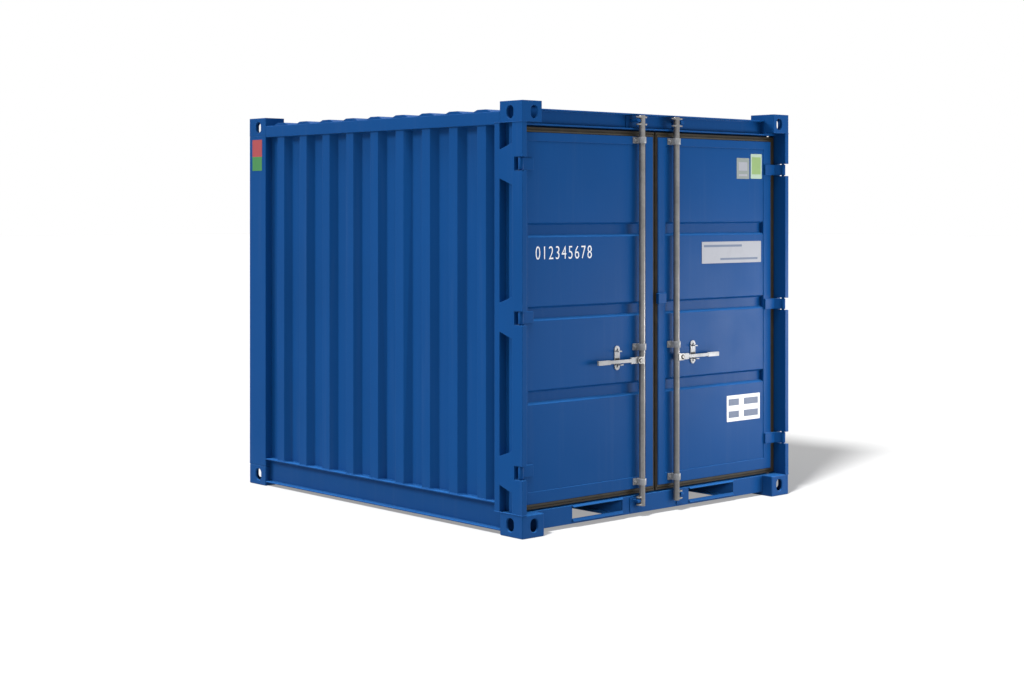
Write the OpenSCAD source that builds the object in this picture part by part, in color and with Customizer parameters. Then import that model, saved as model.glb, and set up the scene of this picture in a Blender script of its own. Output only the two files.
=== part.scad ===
// Steel storage container with double doors, corrugated walls and corner castings.
// The origin is at ground level under the middle; the doors face -Y and +Z is up.

/* [Overall] */
// Outside length, from the door end to the rear end
length = 2438; // [2000:1:3000]
// Outside width, over the corner castings
width = 2200; // [1900:1:2450]
// Outside height, over the corner castings
height = 2260; // [2000:1:2600]

/* [Corner castings] */
// Length of every casting along the container
casting_len = 170; // [150:1:185]
// Width of a top casting
top_casting_w = 140; // [120:1:170]
// Height of a top casting
top_casting_h = 110; // [100:1:125]
// Width of a bottom casting
bottom_casting_w = 158; // [130:1:170]
// Height of a bottom casting
bottom_casting_h = 120; // [110:1:130]
// Wall of a casting
casting_wall = 16; // [12:1:24]
// Length of the slot in the top or bottom face of a casting
lock_slot_len = 124; // [100:1:124]
// Width of the slot in the top or bottom face of a casting
lock_slot_w = 63.5; // [50:0.5:64]
// Width of the upright hole in the side face of a casting
side_hole_w = 52; // [44:1:62]
// Distance of the side hole's middle from the casting's end face
side_hole_y = 93; // [80:1:105]
// Width of the upright hole in the end face of a casting
end_hole_w = 51; // [44:1:54]
// Distance of the end hole's middle from the casting's side face
end_hole_x = 86; // [76:1:90]
// Height of the upright holes
lift_hole_h = 70; // [64:1:74]
// Shift of the upright holes from mid height, away from the slot
lift_hole_shift = 3; // [0:1:5]

/* [Posts] */
// Width of a front post's narrow flange, beside the door
flange_w = 30; // [28:1:40]
// Depth of that flange from the front plane to the door stop
flange_d = 124; // [118:1:140]
// Width of a front post behind the door
post_w = 78; // [70:1:100]
// Depth of a front post along the container
post_d = 210; // [195:1:240]
// Plain strip of the post's side in front of its windows
post_front_strip = 77; // [70:1:85]
// Plain strip of the post's side behind its windows
post_rear_strip = 38; // [25:1:45]
// Metal left beside a shallow window
window_floor = 6; // [4:1:10]
// Depth of a window behind the door stop
window_depth = 47; // [30:1:55]
// Half height of the plain side at a hinge
gusset_half = 75; // [65:1:90]
// Slant of a window's end
window_slant = 34; // [10:1:45]
// Width of a rear post
rear_post_w = 60; // [52:1:80]

/* [Rails] */
// Height of a top side rail
top_rail_h = 68; // [50:1:80]
// Width of a top side rail
top_rail_w = 60; // [52:1:80]
// Drop of a top side rail below the castings
top_rail_drop = 10; // [5:1:20]
// Height of the bottom side rail's upper face above ground
bottom_rail_top = 169; // [150:1:190]
// Depth of the channel of a bottom side rail
bottom_rail_d = 42; // [38:1:60]
// Metal of a bottom side rail
bottom_rail_t = 8; // [4:1:10]
// Clearance under the rails and sills
ground_gap = 22; // [10:1:35]

/* [Header and sill] */
// Set-back of the door faces from the front plane
face_setback = 72; // [70:1:80]
// How far the header and the sill stand before the door faces
frame_lead = 4; // [2:1:6]
// Drop of the header's top below the castings
header_drop = 34; // [20:1:45]
// Drop of the header's lower edge below the top castings
header_lip = 13; // [5:1:20]
// Depth of the header
header_d = 84; // [60:1:110]
// Depth of the recess along the header's face
header_recess = 30; // [24:1:40]
// Height of the header's edges above and below that recess
header_edge = 9; // [6:1:10]
// Metal of the front and rear sill
sill_t = 8; // [5:1:10]
// Depth of the front and rear sill
sill_d = 52; // [45:1:60]
// Depth of the rear header
rear_header_d = 60; // [50:1:80]
// Height of the stop behind the doors' edges
stop_h = 34; // [20:1:40]
// Thickness of that stop
stop_t = 8; // [5:1:10]

/* [Fork pockets] */
// Distance between the middles of the two fork pockets
pocket_pitch = 942; // [800:1:1000]
// Width of a fork pocket
pocket_w = 390; // [300:1:400]
// Height of a fork pocket's lower edge above ground
pocket_z = 48; // [36:1:55]
// Metal of the plates beside a fork pocket
pocket_t = 6; // [4:1:8]
// Width of the foot along the bottom of such a plate
pocket_foot_w = 50; // [30:1:70]

/* [Walls] */
// Distance between two ribs of the walls and the roof
rib_pitch = 225; // [200:1:250]
// Width of a rib's outer face
rib_flat = 68; // [50:1:80]
// Width of a rib's slope
rib_slope = 38; // [25:1:45]
// Depth of a wall rib
rib_depth = 36; // [20:1:38]
// Set-back of the ribs from the castings' faces
rib_setback = 8; // [4:1:14]
// Least plain strip between the last rib of a wall and a post
rib_strip = 30; // [15:1:60]
// Sheet metal of the walls
wall_t = 2; // [1.5:0.5:4]
// Height of a roof rib
roof_rib_h = 14; // [8:1:18]
// Sheet metal of the roof
roof_t = 2; // [1.5:0.5:4]

/* [Floor] */
// Height of the floor's upper face above ground
floor_top = 152; // [145:1:158]
// Thickness of the floor boards
floor_t = 21; // [15:1:24]
// Width of a floor bearer
bearer_w = 50; // [30:1:80]
// Number of rows of floor bearers
bearer_rows = 6; // [4:1:8]

/* [Doors] */
// Thickness of a door leaf
leaf_t = 46; // [42:1:48]
// Half the gap between the two doors' seals
seam_half = 5.5; // [5.5:0.1:8]
// Width of the seal along the middle of the doors
seam_seal_w = 16; // [8:1:18]
// Width of the seal beside the posts
jamb_seal_w = 40; // [25:1:44]
// Width of the seal above and below a door
edge_seal_w = 30; // [15:1:34]
// Clearance between a seal and the frame
seal_gap = 7; // [6:0.5:10]
// Depth of a seal
seal_d = 30; // [20:1:36]
// Set-back of a seal behind the door face
seal_inset = 4; // [2:1:6]
// Width of a door's middle stile
inner_stile_w = 62; // [55:1:80]
// Width of the right door's stile beside the post
right_stile_w = 68; // [60:1:90]
// Width of the left door's stile beside the post
left_stile_w = 33; // [28:1:60]
// Height of a door's upper rail
upper_rail_h = 46; // [44:1:80]
// Height of a door's lower rail
lower_rail_h = 64; // [60:1:90]
// Set-back of the door panel behind its stiles
panel_inset = 3; // [1:0.5:6]
// Sheet metal of a door panel
panel_t = 3; // [2:0.5:4]
// Depth of a door panel's grooves
groove_depth = 22; // [10:1:28]
// Height of a groove, slopes included
groove_h = 76; // [60:1:90]
// Height of a groove's slope
groove_slope = 12; // [8:1:20]
// Height of the middle of the lowest groove above ground
groove_z = 713; // [650:1:760]
// Distance of the middle groove above the lowest
groove_pitch = 438; // [400:1:460]
// Distance of the highest groove below the panel's upper edge
groove_drop = 465; // [420:1:500]
// Height of the seam plate's middle above ground
seam_plate_z = 1200; // [1150:1:1250]
// Height of the seam plate
seam_plate_h = 60; // [40:1:80]
// Width of the seam plate on the right door's stile
seam_plate_w = 50; // [30:1:55]
// Thickness of the seam plate
seam_plate_t = 18; // [10:1:20]

/* [Hinges] */
// Distance of a hinge pin from the container's side
pin_side = 16; // [14:1:18]
// Distance of a hinge pin behind the front plane
pin_setback = 28; // [26:1:32]
// Radius of a hinge pin
pin_r = 8; // [6:0.5:8]
// Running clearance of a hinge pin
pin_play = 0.06; // [0.02:0.01:0.1]
// Height of a hinge pin's seat in the post
pin_seat = 20; // [10:1:30]
// Radius of a hinge knuckle
knuckle_r = 14; // [12:0.5:15]
// Height of a hinge knuckle
knuckle_h = 62; // [50:1:80]
// Clearance above and below a knuckle
knuckle_gap = 5; // [5:1:8]
// Depth of the notch in the post at a hinge
notch_d = 62; // [60:1:66]
// Thickness of a hinge blade
blade_t = 10; // [8:1:12]
// Length of a hinge blade over the door
blade_len = 124; // [100:1:150]
// Height of the lowest hinge above ground
hinge_z = 337; // [300:1:380]
// Distance of the middle hinge above the lowest
hinge_pitch = 798; // [700:1:830]
// Distance of the highest hinge below the container's top
hinge_drop = 327; // [300:1:360]
// Distance of a hinge blade's bend from the outer edge of the seal
blade_bend = 14; // [10:1:18]

/* [Locking gear] */
// Distance of a lock rod from the middle of the doors
rod_x = 143; // [125:1:170]
// Distance of a lock rod's axis behind the front plane
rod_setback = 43.5; // [40:0.5:46]
// Radius of a lock rod
rod_r = 17; // [13:0.5:17]
// Running clearance of a lock rod in its guides
rod_play = 0.08; // [0.02:0.01:0.1]
// Overlap of a rod's end past its outer jaw
rod_end = 6; // [2:1:12]
// Height of a jaw
jaw_h = 8; // [6:1:10]
// Half the width of a jaw
jaw_half = 12; // [9:0.5:14]
// Reach of a jaw from the rod's axis
jaw_reach = 44; // [38:1:50]
// Reach of an upper jaw's inner end, which turns into the header's recess
jaw_inner = 36; // [26:1:40]
// Height of the upper keepers' middle above the header's lower edge
keeper_inset = 49; // [45:1:52]
// Depth of the lower keepers' middle below the sill's upper edge
low_keeper_inset = 27; // [24:1:34]
// Height of a keeper's lug
keeper_h = 16; // [12:1:18]
// Clearance between a jaw and a keeper's lug
jaw_gap = 8; // [6:1:10]
// Width of a keeper's lug
keeper_w = 26; // [20:1:30]
// Clearance between a lock rod and a keeper's lug
keeper_gap = 7; // [6:1:10]
// Set-back of a keeper's lug behind the front of the lock rod
keeper_nose = 4; // [2:1:8]
// Thickness of a keeper's base
keeper_t = 5; // [4:1:8]
// Distance of a sill keeper's base from the sill's edges
keeper_margin = 9; // [5:1:12]
// Height of a rod guide
guide_h = 36; // [28:1:40]
// Width of a rod guide's base
guide_w = 90; // [70:1:100]
// Thickness of a rod guide's base and strap
guide_t = 6; // [4:1:8]
// Distance of the upper rod guide below the header
guide_drop = 58; // [50:1:66]
// Height of the middle rod guide above ground
guide_z = 939; // [925:1:960]
// Distance of the lower rod guide above the sill
guide_rise = 76; // [66:1:80]

/* [Handles] */
// Height of the handles above ground
handle_z = 868; // [850:1:875]
// Half the height of the clevis on a rod
clevis_r = 19; // [16:0.5:22]
// Thickness of a clevis plate
clevis_t = 8; // [6:0.5:9]
// How far a clevis stands before its rod
clevis_rise = 2.5; // [0:0.5:5]
// Clearance between a handle and its clevis
clevis_gap = 1; // [0.4:0.1:1.5]
// Distance of a handle's bolt from the rod's axis
bolt_x = 32; // [31:1:40]
// Radius of a handle's bolt
bolt_r = 6; // [5:0.5:7]
// Running clearance of a handle on its bolt
bolt_play = 0.06; // [0.02:0.01:0.1]
// Height of the bolt's head
bolt_head = 4; // [3:0.5:6]
// Radius of the bolt's six-sided head
bolt_head_r = 9; // [8:0.5:11]
// Radius of the eye of a handle
eye_r = 12; // [10:0.5:13]
// Length of a handle from its bolt
handle_len = 325; // [260:1:360]
// Thickness of a handle
handle_t = 10; // [8:1:12]
// Length of a handle's root, from the bolt
root_len = 65; // [50:1:80]
// Height of a handle's root
root_h = 34; // [28:1:36]
// Height of a handle's bar
bar_h = 18; // [14:1:22]
// Length of a handle's grip
grip_len = 95; // [70:1:120]
// Height of a handle's grip
grip_h = 24; // [20:1:28]
// Distance of a handle catch from the rod's axis
catch_x = 172; // [150:1:200]
// Width of a handle catch
catch_w = 40; // [32:1:46]
// Height of a handle catch
catch_h = 132; // [126:1:140]
// Thickness of a handle catch
catch_t = 6; // [4:1:8]
// Depth of a catch's lower end below a handle's middle
catch_drop = 48; // [44:1:52]
// Radius of the rivet holes in a catch
rivet_r = 6; // [4:0.5:7]
// Width of a catch's shelf and flap
tongue_w = 24; // [18:1:28]
// Clearance of the catch's shelf below a handle
shelf_gap = 6; // [5:1:8]
// Clearance of the catch's flap above a handle
flap_gap = 43; // [40:1:46]
// Set-back of the flap's front behind the handle's front
flap_setback = 12; // [6:1:18]

/* [Hidden] */
$fn = 48;
eps = 1;
hx = width / 2;
hy = length / 2;
front = -hy;
top_casting_z = height - top_casting_h;
jamb_x = hx - flange_w;
post_x = hx - post_w;
stop_y = front + flange_d;
post_back = front + post_d;
casting_in = hy - casting_len;
face_y = front + face_setback;
header_y = face_y - frame_lead;
header_z = top_casting_z - header_lip;
header_top = height - header_drop;
sill_top = bottom_casting_h;
pin_x = hx - pin_side;
pin_y = front + pin_setback;
notch_h = knuckle_h + 2 * knuckle_gap;
hinge_heights = [hinge_z, hinge_z + hinge_pitch, height - hinge_drop];
rail_z = top_casting_z - top_rail_drop;
rail_top = rail_z + top_rail_h;
wall_out = hx - rib_setback;
foot_half = rib_flat / 2 + rib_slope;
side_ribs = rib_count(min(-post_back, casting_in));
rear_ribs = rib_count(hx - rear_post_w);
seal_out = jamb_x - seal_gap;
leaf_in = seam_half + seam_seal_w;
leaf_out = seal_out - jamb_seal_w;
seal_low = sill_top + seal_gap;
seal_high = header_z - seal_gap;
leaf_low = seal_low + edge_seal_w;
leaf_high = seal_high - edge_seal_w;
panel_in = leaf_in + inner_stile_w;
panel_low = leaf_low + lower_rail_h;
panel_high = leaf_high - upper_rail_h;
panel_y = face_y + panel_inset;
groove_heights = [groove_z, groove_z + groove_pitch, panel_high - groove_drop];
rod_y = front + rod_setback;
top_keeper_z = header_z + keeper_inset;
low_keeper_z = sill_top - low_keeper_inset;
jaw_off = keeper_h / 2 + jaw_gap + jaw_h / 2;
keeper_x = rod_x + rod_r + keeper_gap;
pocket_x = pocket_pitch / 2;
floor_under = floor_top - floor_t;
web_x = hx - bottom_rail_d;
sill_back = header_y + sill_d;
clevis_y = rod_y - rod_r - clevis_rise;
handle_y = clevis_y + clevis_t + clevis_gap;
handle_back = handle_y + handle_t;
clevis_back = handle_back + clevis_gap + clevis_t;
steel_blue = "#1f4f93";
deep_blue = "#1b4683";
zinc = "#c4c6c6";
seal_black = "#26241f";
wood_brown = "#8a6a45";

// Box between two corners
module span(low, high) {
    translate(low) cube(high - low);
}

// Children as they are, and mirrored to the other side of the container
module both_sides() {
    children();
    mirror([1, 0, 0]) children();
}

// Children at the right side, or mirrored to the left
module side(left) {
    if (left) mirror([1, 0, 0]) children();
    else children();
}

// Upright slot with round ends, along Z, centred, to be cut along Y
module oval(long, wide, depth) {
    rotate([90, 0, 0]) slot(long, wide, depth);
}

// Slot with round ends along Y, centred, to be cut along Z
module slot(long, wide, depth) {
    reach = (long - wide) / 2;
    cube([wide, 2 * reach, depth], center = true);
    for (s = [-1, 1]) translate([0, s * reach, 0]) cylinder(d = wide, h = depth, center = true);
}

// Corner casting at the right front: w wide, h high, its slot above or below
module casting(w, h, slot_up) {
    cut = 3 * casting_wall;
    hole_z = h / 2 + (slot_up ? -lift_hole_shift : lift_hole_shift);
    difference() {
        translate([hx - w, front, 0]) cube([w, casting_len, h]);
        translate([hx - w + casting_wall, front + casting_wall, casting_wall])
            cube([w - 2 * casting_wall, casting_len - 2 * casting_wall, h - 2 * casting_wall]);
        translate([hx - w / 2, front + casting_len / 2, slot_up ? h : 0])
            slot(lock_slot_len, lock_slot_w, cut);
        translate([hx - end_hole_x, front, hole_z]) oval(lift_hole_h, end_hole_w, cut);
        translate([hx, front + side_hole_y, hole_z])
            rotate([0, 0, 90]) oval(lift_hole_h, side_hole_w, cut);
    }
}

module four_corners() {
    both_sides() {
        children();
        mirror([0, 1, 0]) children();
    }
}

module top_corner_castings() {
    color(steel_blue) four_corners()
        translate([0, 0, top_casting_z]) casting(top_casting_w, top_casting_h, true);
}

module bottom_corner_castings() {
    color(steel_blue) four_corners() casting(bottom_casting_w, bottom_casting_h, false);
}

// Outline of the windows in a front post's side, between the hinges, in Y and Z
module window_outline() {
    rear = post_back - post_rear_strip;
    ahead = front + post_front_strip;
    ends = [bottom_casting_h - gusset_half, each hinge_heights, top_casting_z + gusset_half];
    for (i = [0:3]) {
        slant_low = i == 0 ? 0 : window_slant;
        slant_high = i == 3 ? 0 : window_slant;
        low = i == 0 ? bottom_casting_h : ends[i] + gusset_half;
        high = i == 3 ? top_casting_z : ends[i + 1] - gusset_half;
        polygon([[rear, low], [rear, high], [ahead, high - slant_high], [ahead, low + slant_low]]);
    }
}

module front_post() {
    difference() {
        union() {
            span([jamb_x, front, bottom_casting_h], [hx, stop_y, top_casting_z]);
            span([post_x, stop_y, bottom_casting_h], [hx, post_back, top_casting_z]);
        }
        intersection() {
            translate([hx - flange_w + window_floor, 0, 0])
                rotate([90, 0, 90]) linear_extrude(flange_w) window_outline();
            span([0, front, 0], [width, stop_y + eps, height]);
        }
        intersection() {
            translate([hx - window_depth, 0, 0])
                rotate([90, 0, 90]) linear_extrude(2 * window_depth) window_outline();
            span([0, stop_y, 0], [width, hy, height]);
        }
        for (z = hinge_heights) {
            span([jamb_x - eps, front - eps, z - notch_h / 2], [hx + eps, front + notch_d, z + notch_h / 2]);
            translate([pin_x, pin_y, z])
                cylinder(r = pin_r + pin_play, h = notch_h + 2 * pin_seat, center = true);
        }
    }
}

module left_front_post() { color(steel_blue) side(true) front_post(); }
module right_front_post() { color(steel_blue) side(false) front_post(); }

module rear_post() {
    span([hx - rear_post_w, casting_in, bottom_casting_h], [hx, hy, top_casting_z]);
}

module left_rear_post() { color(steel_blue) side(true) rear_post(); }
module right_rear_post() { color(steel_blue) side(false) rear_post(); }

// Top side rail between the castings, cut where the front post stands under its end
module top_rail() {
    difference() {
        span([hx - top_rail_w, -casting_in, rail_z], [hx, casting_in, rail_top]);
        span([0, -hy, 0], [width, post_back, top_casting_z]);
    }
}

module left_top_rail() { color(steel_blue) side(true) top_rail(); }
module right_top_rail() { color(steel_blue) side(false) top_rail(); }

// Bottom side rail: a channel open to the outside, cut where the front post stands on its end
module bottom_rail() {
    t = bottom_rail_t;
    difference() {
        span([web_x, -casting_in, ground_gap], [hx, casting_in, bottom_rail_top]);
        span([web_x + t, -hy, ground_gap + t], [width, hy, bottom_rail_top - t]);
        span([0, -hy, bottom_casting_h], [width, post_back, height]);
    }
}

module left_bottom_rail() { color(steel_blue) side(true) bottom_rail(); }
module right_bottom_rail() { color(steel_blue) side(false) bottom_rail(); }

// Header between the top castings: a beam with a recess along its face and a stop below it
module front_header() {
    casting_x = hx - top_casting_w;
    back = header_y + header_d;
    color(deep_blue) difference() {
        union() {
            span([-casting_x, header_y, header_z], [casting_x, back, header_top]);
            span([-jamb_x, header_y, header_z], [jamb_x, stop_y, top_casting_z]);
            span([-post_x, stop_y, header_z], [post_x, back, top_casting_z]);
            span([-post_x, stop_y, header_z - stop_h], [post_x, stop_y + stop_t, header_z]);
        }
        span([-casting_x, header_y - eps, header_z + header_edge],
            [casting_x, header_y + header_recess, header_top - header_edge]);
    }
}

// Openings of the two fork pockets through a sill's upright plate
module pocket_cuts(y_low, y_high) {
    both_sides()
        translate([pocket_x, 0, 0])
            span([-pocket_w / 2, y_low, pocket_z], [pocket_w / 2, y_high, sill_top - sill_t]);
}

// Sill between two castings: an upright plate with an upper and a lower flange behind it
module sill(plate_y, depth) {
    x = hx - bottom_casting_w;
    difference() {
        span([-x, plate_y, ground_gap], [x, plate_y + depth, sill_top]);
        span([-width, plate_y + sill_t, ground_gap + sill_t], [width, hy, sill_top - sill_t]);
        pocket_cuts(plate_y - eps, plate_y + sill_t + eps);
    }
}

module front_sill() {
    casting_x = hx - bottom_casting_w;
    color(deep_blue) {
        sill(header_y, sill_d);
        span([-post_x, stop_y, sill_top], [post_x, stop_y + stop_t, sill_top + stop_h]);
        span([-casting_x, sill_back, sill_top - sill_t], [casting_x, stop_y + stop_t, sill_top]);
    }
}

module rear_sill() {
    color(deep_blue) mirror([0, 1, 0]) sill(front, sill_d);
}

module rear_header() {
    x = hx - top_casting_w;
    color(deep_blue) span([-x, hy - rear_header_d, top_casting_z], [x, hy, header_top]);
}

// Number of ribs that fit about the middle of a wall whose shorter half is given
function rib_count(half) = floor(2 * (half - foot_half - rib_strip) / rib_pitch) + 1;

// Corner points of a ribbed sheet from start to end, with count ribs about zero, rib height rise
function rib_path(start, end, count, rise) = [
    [start, 0],
    for (i = [0:count - 1])
        let (c = (i - (count - 1) / 2) * rib_pitch)
        each [[c - foot_half, 0], [c - rib_flat / 2, rise], [c + rib_flat / 2, rise], [c + foot_half, 0]],
    [end, 0]
];

// Outline of a ribbed sheet of thickness t
module rib_outline(start, end, count, rise, t) {
    path = rib_path(start, end, count, rise);
    last = len(path) - 1;
    polygon([
        each path,
        for (i = [0:last]) path[last - i] - [0, t]
    ]);
}

// Side wall from the front post to the rear post, ribs standing outwards
module side_wall() {
    translate([wall_out - rib_depth, 0, bottom_rail_top])
        linear_extrude(rail_z - bottom_rail_top)
            mirror([1, -1, 0])
                rib_outline(post_back, casting_in, side_ribs, rib_depth, wall_t);
}

module left_side_wall() { color(steel_blue) side(true) side_wall(); }
module right_side_wall() { color(steel_blue) side(false) side_wall(); }

module rear_wall() {
    x = hx - rear_post_w;
    color(steel_blue)
        translate([0, hy - rib_setback - rib_depth, sill_top])
            linear_extrude(top_casting_z - sill_top)
                rib_outline(-x, x, rear_ribs, rib_depth, wall_t);
}

// Roof sheet on the top rails, with cross ribs that are closed at their ends
module roof() {
    x = hx - rib_setback;
    cap = 6;
    start = header_y + header_d;
    end = hy - rear_header_d;
    color(deep_blue) intersection() {
        translate([0, 0, rail_top + roof_t]) rotate([90, 0, 90]) union() {
            translate([0, 0, -x])
                linear_extrude(2 * x) rib_outline(start, end, side_ribs, roof_rib_h, roof_t);
            for (edge = [-x, x - cap])
                translate([0, 0, edge])
                    linear_extrude(cap)
                        for (i = [0:side_ribs - 1])
                            translate([(i - (side_ribs - 1) / 2) * rib_pitch, 0])
                                polygon([
                                    [-foot_half, -roof_t], [-foot_half, 0], [-rib_flat / 2, roof_rib_h],
                                    [rib_flat / 2, roof_rib_h], [foot_half, 0], [foot_half, -roof_t]
                                ]);
        }
        union() {
            span([-hx, -casting_in, 0], [hx, casting_in, height]);
            span([-hx + top_casting_w, start, 0], [hx - top_casting_w, end, height]);
        }
    }
}

module floor_deck() {
    gap = 2;
    stop_back = stop_y + stop_t;
    wall_in = hy - rib_setback - rib_depth - wall_t;
    color(wood_brown) {
        span([-web_x + gap, post_back + gap, floor_under], [web_x - gap, casting_in - gap, floor_top]);
        span([-post_x + gap, stop_back, floor_under], [post_x - gap, post_back + gap, floor_top]);
        span([-hx + rear_post_w + gap, casting_in - gap, floor_under],
            [hx - rear_post_w - gap, wall_in - gap, floor_top]);
    }
}

// Floor bearers in rows, interrupted by the fork pockets
module floor_bearers() {
    outer = pocket_x + pocket_w / 2 + pocket_t;
    inner = pocket_x - pocket_w / 2 - pocket_t;
    first = post_back + bearer_w;
    step = (casting_in - bearer_w - first) / (bearer_rows - 1);
    color(deep_blue)
        for (i = [0:bearer_rows - 1], xs = [[-web_x, -outer], [-inner, inner], [outer, web_x]])
            translate([0, first + i * step, 0])
                span([xs[0], -bearer_w / 2, pocket_z], [xs[1], bearer_w / 2, floor_under]);
}

// Plate beside a fork pocket that is centred at zero: it runs from sill to sill and up to the floor,
// with a foot turned towards the pocket
module pocket_plate() {
    x = pocket_w / 2;
    out = x + pocket_t;
    back = hy - sill_d;
    upper = sill_top - sill_t;
    span([x, sill_back, ground_gap], [out, back, upper]);
    span([x, header_y + sill_t, ground_gap + sill_t], [out, hy - sill_t, upper]);
    span([x, stop_y + stop_t, upper - eps], [out, back, floor_under]);
    span([x - pocket_foot_w, sill_back, ground_gap], [out, back, ground_gap + pocket_t]);
}

module fork_pocket_plates() {
    color(deep_blue) both_sides() translate([pocket_x, 0, 0]) both_sides() pocket_plate();
}

module hinge_pins() {
    for (z = hinge_heights)
        translate([pin_x, pin_y, z]) cylinder(r = pin_r, h = notch_h + 2 * pin_seat, center = true);
}

module left_hinge_pins() { color(zinc) side(true) hinge_pins(); }
module right_hinge_pins() { color(zinc) side(false) hinge_pins(); }

// Keeper beside a lock rod: a base on the frame and a lug between the rod's jaws
module keeper(z, face, base_low, base_high) {
    nose = rod_y - rod_r + keeper_nose;
    span([keeper_x, face - keeper_t, base_low], [keeper_x + 2 * keeper_w, face, base_high]);
    span([keeper_x, nose, z - keeper_h / 2], [keeper_x + keeper_w, face - keeper_t, z + keeper_h / 2]);
}

module header_keepers() {
    color(deep_blue) both_sides()
        keeper(top_keeper_z, header_y + header_recess, header_z + header_edge, header_top - header_edge);
}

module sill_keepers() {
    color(deep_blue) both_sides()
        keeper(low_keeper_z, header_y, ground_gap + keeper_margin, sill_top - keeper_margin);
}

// Frame of a door leaf, with the width of its stile beside the post
module door_frame(stile) {
    difference() {
        span([leaf_in, face_y, leaf_low], [leaf_out, face_y + leaf_t, leaf_high]);
        span([panel_in, face_y - eps, panel_low], [leaf_out - stile, face_y + leaf_t + eps, panel_high]);
    }
}

// Points of the door panel's face from bottom to top: height and depth behind the panel plane
function panel_path() = [
    [panel_low, 0],
    for (c = groove_heights)
        let (h = groove_h / 2, flat = h - groove_slope)
        each [[c - h, 0], [c - flat, groove_depth], [c + flat, groove_depth], [c + h, 0]],
    [panel_high, 0]
];

// Door panel: a sheet with three level grooves, closed at their ends by the stiles
module door_panel(stile) {
    path = panel_path();
    last = len(path) - 1;
    translate([panel_in, panel_y, 0])
        rotate([90, 0, 90])
            linear_extrude(leaf_out - stile - panel_in)
                mirror([1, -1, 0])
                    polygon([each path, for (i = [0:last]) path[last - i] + [0, panel_t]]);
}

module door_seal() {
    y = face_y + seal_inset;
    difference() {
        span([seam_half, y, seal_low], [seal_out, y + seal_d, seal_high]);
        span([leaf_in, y - eps, leaf_low], [leaf_out, y + seal_d + eps, leaf_high]);
    }
}

// One door hinge: a blade on the stile that bends forward, over a short spread, to the knuckle on the pin
module door_hinge(z) {
    start = pin_x - blade_len;
    bend = seal_out - blade_bend;
    spread = 4;
    rise = blade_t * 0.75;
    translate([0, 0, z - knuckle_h / 2]) difference() {
        linear_extrude(knuckle_h) {
            polygon([
                [start, face_y], [start, face_y - blade_t], [bend - spread, face_y - blade_t],
                [pin_x - rise, pin_y - spread / 2], [pin_x + spread, pin_y + rise + spread / 2],
                [bend + spread, face_y]
            ]);
            translate([pin_x, pin_y]) circle(r = knuckle_r);
        }
        translate([pin_x, pin_y, -eps]) cylinder(r = pin_r + pin_play, h = knuckle_h + 2 * eps);
    }
}

module door_hinges() {
    for (z = hinge_heights) door_hinge(z);
}

// Guide of a lock rod: a base on the door and a round strap about the rod
module rod_guide(z, base_y) {
    strap_r = rod_r + guide_t;
    translate([rod_x, 0, z - guide_h / 2]) difference() {
        union() {
            span([-guide_w / 2, base_y - guide_t, 0], [guide_w / 2, base_y, guide_h]);
            span([-strap_r, rod_y, 0], [strap_r, base_y, guide_h]);
            translate([0, rod_y, 0]) cylinder(r = strap_r, h = guide_h);
        }
        translate([0, rod_y, -eps]) cylinder(r = rod_r + rod_play, h = guide_h + 2 * eps);
        span([-width, base_y, -eps], [width, hy, guide_h + eps]);
    }
}

module rod_guides() {
    rod_guide(header_z - guide_drop, face_y);
    rod_guide(guide_z, panel_y);
    rod_guide(sill_top + guide_rise, face_y);
}

// Jaw on a lock rod: one end reaches over or under a keeper's lug, the other end past the rod's inner side
module jaw(z, inner) {
    outer_x = jaw_reach - jaw_half;
    inner_x = max(0, inner - jaw_half);
    translate([rod_x, rod_y, z - jaw_h / 2]) {
        translate([-inner_x, -jaw_half, 0]) cube([inner_x + outer_x, 2 * jaw_half, jaw_h]);
        for (x = [-inner_x, outer_x]) translate([x, 0, 0]) cylinder(r = jaw_half, h = jaw_h);
    }
}

// Plate of the clevis on a lock rod, with its front at y
module clevis_plate(y) {
    span([rod_x, y, handle_z - clevis_r], [rod_x + bolt_x, y + clevis_t, handle_z + clevis_r]);
    translate([rod_x + bolt_x, y + clevis_t, handle_z])
        rotate([90, 0, 0]) cylinder(r = clevis_r, h = clevis_t);
}

// Lock rod with its jaws, and the clevis and bolt that hold the handle
module lock_rod() {
    low = low_keeper_z - jaw_off - jaw_h / 2 - rod_end;
    high = top_keeper_z + jaw_off + jaw_h / 2 + rod_end;
    translate([rod_x, rod_y, low]) cylinder(r = rod_r, h = high - low);
    for (s = [-1, 1]) {
        jaw(low_keeper_z + s * jaw_off, 0);
        jaw(top_keeper_z + s * jaw_off, jaw_inner);
    }
    clevis_plate(clevis_y);
    clevis_plate(handle_back + clevis_gap);
    translate([rod_x + bolt_x, clevis_back, handle_z]) rotate([90, 0, 0]) {
        cylinder(r = bolt_r, h = clevis_back - clevis_y);
        translate([0, 0, clevis_back - clevis_y]) cylinder(r = bolt_head_r, h = bolt_head, $fn = 6);
    }
}

// Handle in the clevis: a round eye, a tall root, a flat bar and a thicker grip
module handle() {
    x = rod_x + bolt_x;
    tip = x + handle_len;
    grip = tip - grip_len;
    swell = 1;
    difference() {
        union() {
            translate([x, handle_back, handle_z]) rotate([90, 0, 0]) cylinder(r = eye_r, h = handle_t);
            span([x, handle_y, handle_z - root_h / 2], [x + root_len, handle_back, handle_z + root_h / 2]);
            span([x, handle_y, handle_z - bar_h / 2], [grip, handle_back, handle_z + bar_h / 2]);
            translate([0, 0, handle_z])
                span([grip, handle_y - swell, -grip_h / 2], [tip, handle_back + swell, grip_h / 2]);
        }
        translate([x, handle_back + eps, handle_z])
            rotate([90, 0, 0]) cylinder(r = bolt_r + bolt_play, h = handle_t + 2 * eps);
    }
}

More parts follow.
